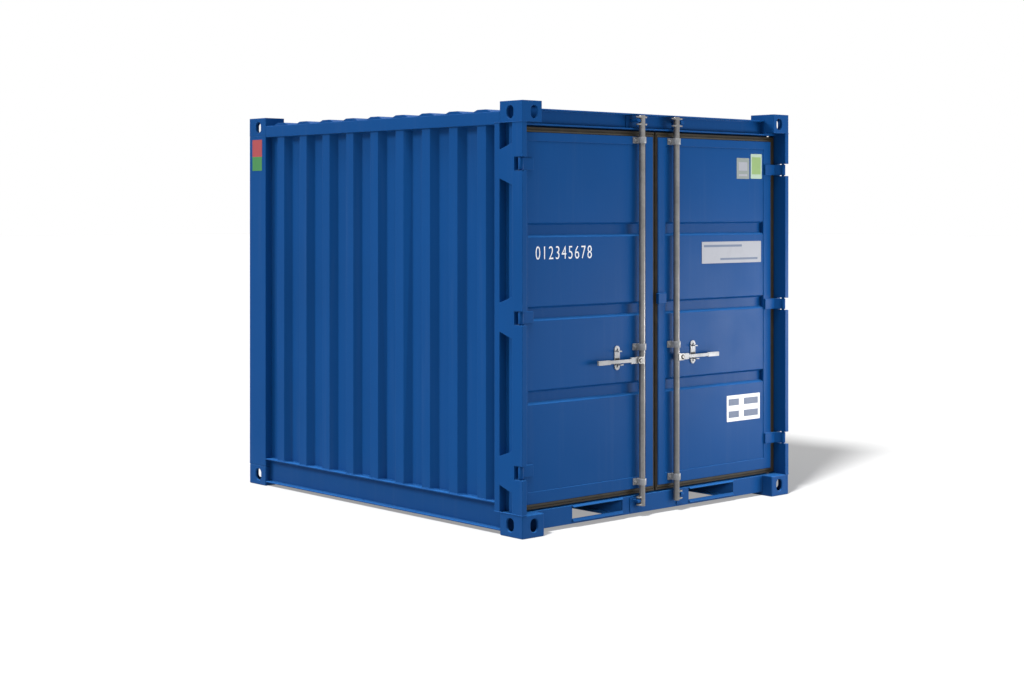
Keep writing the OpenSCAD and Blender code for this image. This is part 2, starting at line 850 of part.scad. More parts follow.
// Catch of a handle: a plate with round ends on the panel, a shelf below the handle and a flap above it
module handle_catch() {
    x = rod_x + catch_x;
    base = handle_z - catch_drop;
    lobe = catch_w / 2;
    ends = [base + lobe, base + catch_h - lobe];
    shelf = handle_z - bar_h / 2 - shelf_gap;
    flap = handle_z + bar_h / 2 + flap_gap;
    plate_y = panel_y - catch_t;
    difference() {
        union() {
            span([x - lobe, plate_y, ends[0]], [x + lobe, panel_y, ends[1]]);
            for (z = ends) translate([x, panel_y, z]) rotate([90, 0, 0]) cylinder(r = lobe, h = catch_t);
        }
        for (z = ends)
            translate([x, panel_y, z])
                rotate([90, 0, 0]) cylinder(r = rivet_r, h = 3 * catch_t, center = true);
    }
    translate([x - tongue_w / 2, 0, 0]) {
        span([0, handle_y, shelf - catch_t], [tongue_w, plate_y, shelf]);
        span([0, handle_y + flap_setback, flap], [tongue_w, plate_y, flap + catch_t]);
    }
}

module left_door_frame() { color(steel_blue) side(true) door_frame(left_stile_w); }
module left_door_panel() { color(steel_blue) side(true) door_panel(left_stile_w); }
module left_door_seal() { color(seal_black) side(true) door_seal(); }
module left_door_hinges() { color(steel_blue) side(true) door_hinges(); }
module left_rod_guides() { color(zinc) side(true) rod_guides(); }
module left_handle_catch() { color(zinc) side(true) handle_catch(); }
module left_lock_rod() { color(zinc) side(true) lock_rod(); }
module left_handle() { color(zinc) side(true) handle(); }

module right_door_frame() { color(steel_blue) side(false) door_frame(right_stile_w); }
module right_door_panel() { color(steel_blue) side(false) door_panel(right_stile_w); }
module right_door_seal() { color(seal_black) side(false) door_seal(); }
module right_door_hinges() { color(steel_blue) side(false) door_hinges(); }
module right_rod_guides() { color(zinc) side(false) rod_guides(); }
module right_handle_catch() { color(zinc) side(false) handle_catch(); }
module right_lock_rod() { color(zinc) side(false) lock_rod(); }
module right_handle() { color(zinc) side(false) handle(); }

// Plate on the right door's stile that covers the seal at mid height
module seam_plate() {
    low = seam_plate_z - seam_plate_h / 2;
    color(steel_blue)
        span([seam_half, face_y - seam_plate_t, low], [leaf_in + seam_plate_w, face_y, low + seam_plate_h]);
}

top_corner_castings();
bottom_corner_castings();
left_front_post();
right_front_post();
left_rear_post();
right_rear_post();
left_top_rail();
right_top_rail();
left_bottom_rail();
right_bottom_rail();
front_header();
front_sill();
rear_header();
rear_sill();
left_side_wall();
right_side_wall();
rear_wall();
roof();
floor_deck();
floor_bearers();
fork_pocket_plates();
left_hinge_pins();
right_hinge_pins();
header_keepers();
sill_keepers();
left_door_frame();
left_door_panel();
left_door_seal();
left_door_hinges();
left_rod_guides();
left_handle_catch();
left_lock_rod();
left_handle();
right_door_frame();
right_door_panel();
right_door_seal();
right_door_hinges();
right_rod_guides();
right_handle_catch();
right_lock_rod();
right_handle();
seam_plate();
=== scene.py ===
"""Looks of a blue steel storage container: paint, zinc, rubber, wood, labels, welds and bolts.

Lengths are in metres and colours are linear. The doors face -Y.
"""

import math

import bmesh
import bpy
from mathutils import Matrix, Vector


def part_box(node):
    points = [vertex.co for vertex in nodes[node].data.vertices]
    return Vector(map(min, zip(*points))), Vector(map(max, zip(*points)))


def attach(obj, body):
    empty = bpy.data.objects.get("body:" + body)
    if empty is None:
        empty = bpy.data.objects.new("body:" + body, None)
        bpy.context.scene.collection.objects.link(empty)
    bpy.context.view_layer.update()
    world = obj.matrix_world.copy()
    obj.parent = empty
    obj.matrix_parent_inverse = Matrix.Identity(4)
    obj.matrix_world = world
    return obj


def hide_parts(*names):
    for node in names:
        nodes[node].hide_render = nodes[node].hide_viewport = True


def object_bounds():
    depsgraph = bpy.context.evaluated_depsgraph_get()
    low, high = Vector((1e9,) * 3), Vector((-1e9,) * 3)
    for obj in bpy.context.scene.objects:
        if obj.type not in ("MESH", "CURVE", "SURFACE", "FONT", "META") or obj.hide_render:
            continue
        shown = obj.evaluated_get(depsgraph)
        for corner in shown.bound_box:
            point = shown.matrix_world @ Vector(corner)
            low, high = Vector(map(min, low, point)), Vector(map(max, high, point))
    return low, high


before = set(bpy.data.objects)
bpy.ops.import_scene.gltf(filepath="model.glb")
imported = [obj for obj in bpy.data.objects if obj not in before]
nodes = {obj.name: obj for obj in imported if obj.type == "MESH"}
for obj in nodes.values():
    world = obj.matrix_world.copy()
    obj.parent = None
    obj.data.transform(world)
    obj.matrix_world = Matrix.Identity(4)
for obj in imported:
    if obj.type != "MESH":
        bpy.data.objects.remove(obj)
cad_low, cad_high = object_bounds()

QUARTER_TURN = 0.5 * math.pi

# Camera: level, with a shifted lens, as fitted to the photograph
IMAGE_WIDTH, IMAGE_HEIGHT = 1024, 683
FOCAL_PX = 1716.1
AXIS_PX = (416.8, 210.5)
CAMERA_PLACE = (-7.2261, -7.574, 1.6912)
CAMERA_YAW = 0.70559
SENSOR_MM = 36.0
VIEW_DEPTH = 400.0

# Stage
FLOOR_HALF = 90.0
SUN_PLACE = (0.0, 0.0, 6.0)

# Sizes of the CAD nodes that the fittings follow
SIDES = {"left": -1, "right": 1}
RIB_PITCH = 0.225
RIB_FLAT = 0.068
RIB_SLOPE = 0.038
RIB_STRIP = 0.030
WALL_SHEET = 0.002
POST_JAMB = 0.030
HINGE_HEIGHTS = (0.337, 1.135, 1.933)
HINGE_HALF = 0.031
ROD_X = 0.143
GUIDE_HEIGHTS = (0.196, 0.939, 2.079)
GUIDE_PLATE = 0.006
HANDLE_Z = 0.868
HANDLE_BOLT_X = 0.175
HANDLE_BOLT_HEAD = 0.004
CATCH_PLATE = 0.006
POCKET_X = 0.471
POCKET_HALF = 0.195
POCKET_FLOOR = 0.050

# Weld beads
WALL_BEAD = 0.003
POST_BEAD = 0.003
HINGE_BEAD = 0.0018
BEAD_SIDES = 6
BEAD_STEP = 0.011
BEAD_RIPPLE = 0.18

# Seal across its width: (share from the door frame's edge to the seal's edge, depth from its front)
SEAL_PROFILE = (
    (0.0, 0.028), (0.0, 0.003), (0.10, 0.0005), (0.36, 0.0), (0.46, 0.006), (0.56, 0.006),
    (0.64, 0.001), (0.88, 0.002), (1.0, 0.008), (1.0, 0.028),
)

# Rivet head from its foot to its top: (share of its radius, rise as a share of its radius)
RIVET_PROFILE = ((1.0, 0.0), (0.96, 0.25), (0.75, 0.55), (0.4, 0.72), (0.1, 0.78))

# Labels on the doors: boxes are (x low, x high, z low, z high)
PLATE_THICK = 0.002
STICKER_THICK = 0.0008
PRINT_THICK = 0.0004
LABEL_CORNER = 0.004
FIELD_CORNER = 0.003
BAR_CORNER = 0.002
NAME_PLATE = (0.397, 0.933, 1.386, 1.511)
NAME_BARS = ((0.560, 0.900, 1.404, 1.416), (0.415, 0.755, 1.480, 1.493))
WEIGHT_LABEL = (0.620, 0.923, 0.460, 0.612)
WEIGHT_BARS = (
    (0.636, 0.730, 0.482, 0.520), (0.775, 0.905, 0.482, 0.520),
    (0.636, 0.730, 0.553, 0.591), (0.775, 0.905, 0.553, 0.591),
)
GREY_STICKER = (0.710, 0.825, 1.877, 1.999)
GREY_FIELDS = ((0.728, 0.807, 1.893, 1.905), (0.728, 0.807, 1.925, 1.975))
GREEN_STICKER = (0.839, 0.942, 1.879, 2.025)
GREEN_FIELD = (0.850, 0.931, 1.905, 2.006)
NUMBER_BOX = (-0.932, -0.510, 1.434, 1.503)

# Patches on the rear post's side face: the first two values run along -Y
RED_PATCH_BOX = (-1.188, -1.087, 2.022, 2.127)
GREEN_PATCH_BOX = (-1.188, -1.087, 1.936, 2.022)

# Colours
BLUE = (0.0045, 0.053, 0.190)
DUST = (0.20, 0.24, 0.30)
# Lighter blue for edges that are partly paint wear and partly a painted highlight, and for the painted
# top light on upward faces
WEAR_AND_HIGHLIGHT_BLUE = (0.02, 0.115, 0.34)
ZINC = (0.22, 0.215, 0.21)
BRIGHT_ZINC = (0.27, 0.275, 0.285)
# Dark steel of the catch rivets, also the colour of the painted shade behind the handles
DARK_STEEL_AND_SHADE = (0.035, 0.033, 0.030)
RUBBER = (0.020, 0.015, 0.008)
CHALK = (0.075, 0.062, 0.042)
WOOD_DARK = (0.33, 0.21, 0.11)
WOOD_PALE = (0.50, 0.36, 0.21)
WOOD_JOINT = (0.05, 0.035, 0.02)
WOOD_SCUFF = (0.16, 0.13, 0.10)
WHITE = (0.72, 0.73, 0.75)
PLATE_WHITE = (0.29, 0.30, 0.335)
INK = (0.10, 0.13, 0.20)
GREY = (0.21, 0.24, 0.23)
GREEN = (0.22, 0.33, 0.13)
PALE_GREEN = (0.34, 0.44, 0.35)
PATCH_RED = (0.305, 0.053, 0.060)
PATCH_GREEN = (0.045, 0.188, 0.060)
FLOOR_GREY = (0.35, 0.35, 0.35)
LIGHT_WHITE = (1.0, 1.0, 1.0)

# Sockets of a Mix node in its colour mode
MIX_SHARE, MIX_FIRST, MIX_SECOND, MIX_RESULT = 0, 6, 7, 2


class NodeTree:
    """Adds nodes to a tree; sockets are given by name."""

    def __init__(self, tree):
        self.tree = tree

    def add(self, kind, inputs=None, **settings):
        made = self.tree.nodes.new(kind)
        for key, value in settings.items():
            setattr(made, key, value)
        for key, value in (inputs or {}).items():
            self.set(made.inputs[key], value)
        return made

    def set(self, socket, value):
        """Link another socket, or set a constant; colours come without alpha."""
        if isinstance(value, bpy.types.NodeSocket):
            self.tree.links.new(value, socket)
        elif socket.type == "RGBA":
            socket.default_value = (*value, 1.0)
        else:
            socket.default_value = value

    def remap(self, value, span, to):
        """Value moved from the range span to the range to, and kept inside it."""
        ranges = {"From Min": span[0], "From Max": span[1], "To Min": to[0], "To Max": to[1]}
        return self.add("ShaderNodeMapRange", {"Value": value, **ranges}).outputs["Result"]

    def math(self, operation, first, second=0.0):
        made = self.add("ShaderNodeMath", operation=operation)
        self.set(made.inputs[0], first)
        self.set(made.inputs[1], second)
        return made.outputs["Value"]

    def mix(self, share, first, second):
        made = self.add("ShaderNodeMix", data_type="RGBA")
        self.set(made.inputs[MIX_SHARE], share)
        self.set(made.inputs[MIX_FIRST], first)
        self.set(made.inputs[MIX_SECOND], second)
        return made.outputs[MIX_RESULT]

    def shade(self, colour, value):
        """Colour made lighter or darker by a factor."""
        inputs = {"Color": colour, "Value": value}
        return self.add("ShaderNodeHueSaturation", inputs).outputs["Color"]

    def axis(self, vector, name):
        return self.add("ShaderNodeSeparateXYZ", {"Vector": vector}).outputs[name]

    def seen_directly(self):
        """1 where a camera, glossy or transmission ray meets the surface, else 0."""
        path = self.add("ShaderNodeLightPath").outputs
        either = self.math("MAXIMUM", path["Is Camera Ray"], path["Is Glossy Ray"])
        return self.math("MAXIMUM", either, path["Is Transmission Ray"])


class Shader(NodeTree):
    """One material with a principled surface."""

    def __init__(self, name):
        self.material = bpy.data.materials.new(name)
        self.material.use_nodes = True
        super().__init__(self.material.node_tree)
        self.surface = self.tree.nodes["Principled BSDF"]
        self.place = self.add("ShaderNodeTexCoord").outputs["Object"]

    def finish(self, **inputs):
        for key, value in inputs.items():
            self.set(self.surface.inputs[key.replace("_", " ")], value)
        return self.material

    def noise(self, scale, detail=3.0, stretch=None):
        where = self.place
        if stretch:
            mapping = self.add("ShaderNodeMapping", {"Vector": where, "Scale": stretch})
            where = mapping.outputs["Vector"]
        inputs = {"Vector": where, "Scale": scale, "Detail": detail}
        return self.add("ShaderNodeTexNoise", inputs).outputs["Fac"]

    def bump(self, height, strength, distance, normal=None):
        inputs = {"Height": height, "Strength": strength, "Distance": distance}
        if normal:
            inputs["Normal"] = normal
        return self.add("ShaderNodeBump", inputs).outputs["Normal"]

    def facing(self):
        return self.add("ShaderNodeNewGeometry").outputs["Normal"]

    def edges(self, radius):
        """(rounded normal, share of edge) from the surface near sharp edges."""
        rounded = self.add("ShaderNodeBevel", {"Radius": radius}, samples=6).outputs["Normal"]
        dot = self.add("ShaderNodeVectorMath", operation="DOT_PRODUCT")
        self.set(dot.inputs[0], rounded)
        self.set(dot.inputs[1], self.facing())
        return rounded, self.remap(dot.outputs["Value"], (1.0, 0.86), (0.0, 1.0))


def paint_material():
    """Semi-gloss blue paint: uneven, with faint streaks, dust low down, edges painted lighter as
    partly wear and partly a painted highlight, and upward faces painted lighter as painted top light.
    """
    s = Shader("blue_paint")
    height = s.axis(s.place, "Z")
    rounded, edge = s.edges(radius=0.004)
    uneven = s.remap(s.noise(scale=1.6), (0.3, 0.7), (0.96, 1.04))
    streaks = s.noise(scale=1.0, detail=4.0, stretch=(26.0, 26.0, 0.9))
    streaks = s.remap(streaks, (0.55, 0.8), (0.0, 0.03))
    low_down = s.remap(height, (0.0, 0.3), (0.04, 0.0))
    splashes = s.math("MULTIPLY", low_down, s.noise(scale=9.0, detail=5.0))
    # Edges are painted lighter in noisy patches: partly paint wear, partly a painted highlight along
    # the edges
    chips = s.remap(s.noise(scale=38.0, detail=6.0), (0.42, 0.62), (0.10, 0.45))
    wear_and_edge_highlight = s.math("MULTIPLY", edge, chips)
    # Painted top light: faces that point up are painted lighter, as if lit from above, except near the
    # roof
    upward = s.remap(s.axis(s.facing(), "Z"), (0.4, 0.8), (0.0, 0.8))
    below_roof = s.remap(height, (1.9, 2.1), (1.0, 0.0))
    painted_top_light = s.math("MULTIPLY", upward, below_roof)
    colour = s.shade(BLUE, uneven)
    for share, over in ((streaks, DUST), (splashes, DUST), (wear_and_edge_highlight, WEAR_AND_HIGHLIGHT_BLUE), (painted_top_light, WEAR_AND_HIGHLIGHT_BLUE)):
        colour = s.mix(share, colour, over)
    grain = s.bump(s.noise(scale=420.0, detail=2.0), strength=0.10, distance=0.0006, normal=rounded)
    rough = s.remap(s.noise(scale=6.0, detail=4.0), (0.3, 0.7), (0.34, 0.42))
    return s.finish(Base_Color=colour, Roughness=rough, Normal=grain, Specular_IOR_Level=0.031)


def zinc_material(name, colour, metallic, rough_range):
    """Galvanised steel: a spangle of crystals, brushed a little along its length."""
    s = Shader(name)
    cells = s.add("ShaderNodeTexVoronoi", {"Vector": s.place, "Scale": 70.0}).outputs["Color"]
    crystals = s.add("ShaderNodeSeparateColor", {"Color": cells}).outputs["Red"]
    spangle = s.remap(crystals, (0.0, 1.0), (0.92, 1.06))
    dull = s.remap(s.noise(scale=7.0, detail=4.0), (0.35, 0.7), (0.82, 1.05))
    tone = s.shade(colour, s.math("MULTIPLY", spangle, dull))
    rough = s.remap(s.noise(scale=30.0, detail=4.0), (0.3, 0.7), rough_range)
    brushed = s.noise(scale=150.0, stretch=(1.0, 1.0, 0.1))
    normal = s.bump(brushed, strength=0.10, distance=0.0005)
    return s.finish(
        Base_Color=tone, Metallic=metallic, Roughness=rough, Normal=normal, Specular_IOR_Level=0.2
    )


def rubber_material():
    """Black sealing rubber, chalky where it weathers."""
    s = Shader("seal_rubber")
    chalky = s.remap(s.noise(scale=14.0, detail=5.0), (0.45, 0.75), (0.0, 0.22))
    colour = s.mix(chalky, RUBBER, CHALK)
    normal = s.bump(s.noise(scale=300.0, detail=2.0), strength=0.15, distance=0.0006)
    return s.finish(Base_Color=colour, Roughness=0.68, Normal=normal, Specular_IOR_Level=0.3)


def wood_material():
    """Sealed plywood floor: grain along the container, and the joints between its boards."""
    s = Shader("floor_wood")
    board_width = 0.305
    grain = s.noise(scale=3.0, detail=8.0, stretch=(30.0, 1.4, 30.0))
    tone = s.mix(s.remap(grain, (0.3, 0.72), (0.0, 1.0)), WOOD_DARK, WOOD_PALE)
    across = s.math("FRACT", s.math("DIVIDE", s.axis(s.place, "X"), board_width))
    from_middle = s.math("ABSOLUTE", s.math("SUBTRACT", across, 0.5))
    joint = s.remap(from_middle, (0.492, 0.498), (0.0, 0.85))
    scuffed = s.remap(s.noise(scale=2.2, detail=6.0), (0.5, 0.75), (0.0, 0.35))
    colour = s.mix(scuffed, s.mix(joint, tone, WOOD_JOINT), WOOD_SCUFF)
    normal = s.bump(s.math("SUBTRACT", grain, joint), strength=0.35, distance=0.0015)
    return s.finish(Base_Color=colour, Roughness=0.55, Normal=normal)


def vinyl_material(name, colour):
    """Sticker or printed plate: nearly even, with a little grime."""
    s = Shader(name)
    grimy = tuple(0.6 * c for c in colour)
    grime = s.remap(s.noise(scale=24.0, detail=5.0), (0.5, 0.8), (0.0, 0.16))
    normal = s.bump(s.noise(scale=90.0, detail=2.0), strength=0.06, distance=0.0004)
    tone = s.mix(grime, colour, grimy)
    return s.finish(Base_Color=tone, Roughness=0.42, Normal=normal, Specular_IOR_Level=0.15)


paint = paint_material()
zinc = zinc_material("zinc", ZINC, metallic=0.55, rough_range=(0.34, 0.50))
bright_zinc = zinc_material("bright_zinc", BRIGHT_ZINC, metallic=0.15, rough_range=(0.36, 0.50))
# Dark steel for the catch rivets, also used for the plates of painted shade behind the handles
dark_steel_and_shade = zinc_material("dark_steel_and_shade", DARK_STEEL_AND_SHADE, metallic=0.3, rough_range=(0.40, 0.55))
rubber = rubber_material()
wood = wood_material()
white_vinyl = vinyl_material("white_vinyl", WHITE)
plate_vinyl = vinyl_material("plate_vinyl", PLATE_WHITE)
ink = vinyl_material("ink", INK)
grey_vinyl = vinyl_material("grey_vinyl", GREY)
green_vinyl = vinyl_material("green_vinyl", GREEN)
pale_vinyl = vinyl_material("pale_vinyl", PALE_GREEN)
red_patch = vinyl_material("red_patch", PATCH_RED)
green_patch = vinyl_material("green_patch", PATCH_GREEN)

# The first word found in a CAD node's name gives its material and the radius of its edges
FINISHES = (
    ("seal", rubber, 0.0),
    ("floor_deck", wood, 0.002),
    ("lock_rod", zinc, 0.0015),
    ("guides", bright_zinc, 0.0015),
    ("handle", bright_zinc, 0.0015),
    ("wall", paint, 0.0008),
    ("roof", paint, 0.0008),
    ("panel", paint, 0.0008),
    ("castings", paint, 0.006),
    ("", paint, 0.0025),
)


def dress_nodes():
    """Every CAD node gets its material and softly rounded edges."""
    for name, obj in nodes.items():
        material, radius = next(row[1:] for row in FINISHES if row[0] in name)
        obj.data.materials.clear()
        obj.data.materials.append(material)
        if radius:
            soften(obj, radius)


def soften(obj, radius):
    merge_gap, sharp_degrees = 0.00005, 28
    weld = obj.modifiers.new("weld", "WELD")
    weld.merge_threshold = merge_gap
    bevel = obj.modifiers.new("bevel", "BEVEL")
    bevel.width = radius
    bevel.segments = 2
    bevel.limit_method = "ANGLE"
    bevel.angle_limit = math.radians(sharp_degrees)
    bevel.harden_normals = True


def add_object(name, data):
    obj = bpy.data.objects.new(name, data)
    bpy.context.scene.collection.objects.link(obj)
    return obj


def add_mesh(name, bm, material):
    """A new object from bm, which is freed."""
    mesh = bpy.data.meshes.new(name)
    bm.to_mesh(mesh)
    bm.free()
    mesh.materials.append(material)
    return add_object(name, mesh)


def piece(name, bm, material, body):
    """A new object from bm, moving with body."""
    bmesh.ops.recalc_face_normals(bm, faces=bm.faces)
    obj = add_mesh(name, bm, material)
    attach(obj, body)
    return obj


def smooth(obj, angle):
    obj.data.shade_smooth()
    obj.data.set_sharp_from_angle(angle=math.radians(angle))


def add_loops(bm, loops, ring=False):
    """Faces between loops of points; the last loop joins the first in a ring, else both are capped."""
    rows = [[bm.verts.new(p) for p in loop] for loop in loops]
    pairs = list(zip(rows, rows[1:]))
    if ring:
        pairs.append((rows[-1], rows[0]))
    for a, b in pairs:
        for i in range(len(a)):
            j = (i + 1) % len(a)
            bm.faces.new((a[i], a[j], b[j], b[i]))
    if not ring:
        bm.faces.new(rows[0])
        bm.faces.new(rows[-1])


def add_prism(bm, outline, depth, place):
    """Closed prism: outline in the XZ plane, depth towards -Y, moved by the matrix place."""
    add_loops(bm, [[place @ Vector((x, y, z)) for x, z in outline] for y in (0.0, -depth)])


def circle_outline(radius, count, turn=0.0):
    angles = [turn + 2 * math.pi * i / count for i in range(count)]
    return [(radius * math.cos(a), radius * math.sin(a)) for a in angles]


def round_rect(x_low, x_high, z_low, z_high, radius):
    """Outline of a rectangle with round corners."""
    steps = 5
    corners = (
        (x_high - radius, z_low + radius, -QUARTER_TURN),
        (x_high - radius, z_high - radius, 0.0),
        (x_low + radius, z_high - radius, QUARTER_TURN),
        (x_low + radius, z_low + radius, math.pi),
    )
    points = []
    for x, z, start in corners:
        for i in range(steps + 1):
            a = start + QUARTER_TURN * i / steps
            points.append((x + radius * math.cos(a), z + radius * math.sin(a)))
    return points


def add_bolt(bm, x, y, z, width, turn):
    """Hexagon bolt head with a smaller tip on a washer, facing -Y."""
    layers = (
        (circle_outline(0.72 * width, 20), 0.002),
        (circle_outline(0.57 * width, 6, turn), 0.006),
        (circle_outline(0.46 * width, 6, turn), 0.0015),
    )
    for outline, height in layers:
        add_prism(bm, outline, height, Matrix.Translation((x, y, z)))
        y -= height


def add_rivet(bm, x, y, z, radius):
    """Round rivet head facing -Y."""
    rows = []
    for share, rise in RIVET_PROFILE:
        outline = circle_outline(radius * share, 16)
        rows.append([Vector((x + u, y - rise * radius, z + w)) for u, w in outline])
    add_loops(bm, rows)


def add_bead(bm, path, radius):
    """Weld bead along a level path: a thin rippled tube, half sunk in the joint."""
    points = []
    for a, b in zip(path, path[1:]):
        count = max(2, round((b - a).length / BEAD_STEP))
        points += [a.lerp(b, i / count) for i in range(count)]
    points.append(path[-1])
    rows = []
    for i, point in enumerate(points):
        ahead = points[min(i + 1, len(points) - 1)] - points[max(i - 1, 0)]
        side = ahead.cross(Vector((0, 0, 1))).normalized()
        up = side.cross(ahead).normalized()
        outline = circle_outline(radius * (1.0 + BEAD_RIPPLE * (-1) ** i), BEAD_SIDES)
        rows.append([point + u * side + w * up for u, w in outline])
    add_loops(bm, rows)


def add_welds(name, body, corners, heights, radius):
    """Weld beads through the same (x, y) corners at several heights, as one piece."""
    bm = bmesh.new()
    for z in heights:
        add_bead(bm, [Vector((x, y, z)) for x, y in corners], radius)
    smooth(piece(name, bm, paint, body), angle=60)


def rib_points(low, high):
    """(along, rise from 0 to 1) along a ribbed wall from low to high."""
    top = RIB_FLAT / 2
    foot = top + RIB_SLOPE
    rib = ((-foot, 0.0), (-top, 1.0), (top, 1.0), (foot, 0.0))
    count = math.floor(2 * (min(-low, high) - foot - RIB_STRIP) / RIB_PITCH) + 1
    points = [(low, 0.0)]
    for i in range(count):
        middle = (i - (count - 1) / 2) * RIB_PITCH
        points += [(middle + along, rise) for along, rise in rib]
    return points + [(high, 0.0)]


def wall_welds():
    """Welds between the ribbed walls and the rails above and below them."""
    sunk = WALL_BEAD / 2
    for side, sign in SIDES.items():
        low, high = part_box(side + "_side_wall")
        inner, outer = sorted((abs(low.x), abs(high.x)))
        inner += WALL_SHEET
        ribs = rib_points(low.y, high.y)
        corners = [(sign * (inner + rise * (outer - inner)), along) for along, rise in ribs]
        heights = (low.z + sunk, high.z - sunk)
        add_welds(side + "_wall_welds", "frame", corners, heights, WALL_BEAD)
    low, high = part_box("rear_wall")
    inner = low.y + WALL_SHEET
    ribs = rib_points(low.x, high.x)
    corners = [(along, inner + rise * (high.y - inner)) for along, rise in ribs]
    add_welds("rear_wall_welds", "frame", corners, (low.z + sunk, high.z - sunk), WALL_BEAD)


def casting_welds():
    """Welds where the front posts stand between the corner castings."""
    for side, sign in SIDES.items():
        low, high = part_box(side + "_front_post")
        outer = sign * max(abs(low.x), abs(high.x))
        corners = ((outer, high.y), (outer, low.y), (outer - sign * POST_JAMB, low.y))
        add_welds(side + "_post_welds", "frame", corners, (low.z, high.z), POST_BEAD)


def hinge_welds():
    """Welds along both edges of each hinge blade, where it lies on the door's stile."""
    heights = [z + edge for z in HINGE_HEIGHTS for edge in (-HINGE_HALF, HINGE_HALF)]
    for side, sign in SIDES.items():
        blade = min(abs(v.x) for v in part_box(side + "_door_hinges"))
        panel = max(abs(v.x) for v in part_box(side + "_door_panel"))
        low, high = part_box(side + "_door_frame")
        start = sign * max(blade, panel)
        end = sign * max(abs(low.x), abs(high.x))
        corners = ((end, low.y), (start, low.y))
        add_welds(side + "_hinge_welds", side + "_door", corners, heights, HINGE_BEAD)


def guide_bolts():
    """Bolts through the rod guides: the middle guide is on the panel, the others on the frame."""
    offset, width, turn = 0.034, 0.015, 0.3
    for side, sign in SIDES.items():
        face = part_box(side + "_door_frame")[0].y
        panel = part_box(side + "_door_panel")[0].y
        bm = bmesh.new()
        for i, (z, base) in enumerate(zip(GUIDE_HEIGHTS, (face, panel, face))):
            for x in (sign * ROD_X - offset, sign * ROD_X + offset):
                add_bolt(bm, x, base - GUIDE_PLATE, z, width, turn * i)
        smooth(piece(side + "_gear_bolts", bm, bright_zinc, side + "_door"), angle=35)


def catch_fittings():
    """Dark rivets in the handle catches, and thin dark plates behind the handles that stand in for the
    shade there.
    """
    rivet_radius, rivet_foot = 0.0058, 0.004
    shade_plate_half, shade_plate_corner, shade_plate_thick = 0.017, 0.004, 0.0008
    for side in SIDES:
        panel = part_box(side + "_door_panel")[0].y
        low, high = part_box(side + "_handle_catch")
        middle, lobe = (low.x + high.x) / 2, (high.x - low.x) / 2
        bm = bmesh.new()
        for z in (low.z + lobe, high.z - lobe):
            add_rivet(bm, middle, panel - rivet_foot, z, rivet_radius)
        # Painted shade: a thin dark plate behind each handle stands in for the shade that falls there
        shade_plate = round_rect(-shade_plate_half, shade_plate_half, -shade_plate_half, shade_plate_half, shade_plate_corner)
        place = Matrix.Translation((middle, panel - CATCH_PLATE, HANDLE_Z))
        add_prism(bm, shade_plate, shade_plate_thick, place)
        smooth(piece(side + "_catch_fittings", bm, dark_steel_and_shade, side + "_door"), angle=35)


def handle_washers():
    """Dark washers under the heads of the handles' bolts."""
    radius, thick = 0.0125, 0.0015
    for side, sign in SIDES.items():
        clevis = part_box(side + "_lock_rod")[0].y + HANDLE_BOLT_HEAD
        bm = bmesh.new()
        place = Matrix.Translation((sign * HANDLE_BOLT_X, clevis, HANDLE_Z))
        add_prism(bm, circle_outline(radius, 24), thick, place)
        washer = piece(side + "_handle_washer", bm, rubber, side + "_lock_rod")
        smooth(washer, angle=35)


def pocket_lips():
    """Slanted lips over and under the mouths of the fork pockets in the front sill."""
    reach, thick, upper_drop, lower_drop = 0.010, 0.003, 0.008, 0.016
    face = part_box("front_sill")[0].y
    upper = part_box("bottom_corner_castings")[1].z
    turn = Matrix.Rotation(QUARTER_TURN, 4, "Z")
    bm = bmesh.new()
    for top, drop in ((upper, upper_drop), (POCKET_FLOOR, lower_drop)):
        outline = ((0.0, 0.0), (-reach, -drop), (-reach, -drop - thick), (0.0, -thick))
        for sign in SIDES.values():
            place = Matrix.Translation((sign * POCKET_X - POCKET_HALF, face, top)) @ turn
            add_prism(bm, outline, 2 * POCKET_HALF, place)
    piece("pocket_lips", bm, paint, "frame")


def door_seals():
    """Rubber seals with two lips and a groove, mitred round each door."""
    for side in SIDES:
        low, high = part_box(side + "_door_seal")
        inner_low, inner_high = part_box(side + "_door_frame")
        loops = []
        for share, depth in SEAL_PROFILE:
            a = inner_low.lerp(low, share)
            b = inner_high.lerp(high, share)
            corners = ((a.x, a.z), (b.x, a.z), (b.x, b.z), (a.x, b.z))
            loops.append([Vector((x, low.y + depth, z)) for x, z in corners])
        bm = bmesh.new()
        add_loops(bm, loops, ring=True)
        seal = piece(side + "_door_seal_lips", bm, rubber, side + "_door")
        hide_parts(side + "_door_seal")


def add_label(name, boxes, corner, thick, place, material, body):
    """Flat boxes with round corners, as one piece."""
    bm = bmesh.new()
    for box in boxes:
        add_prism(bm, round_rect(*box, corner), thick, place)
    piece(name, bm, material, body)


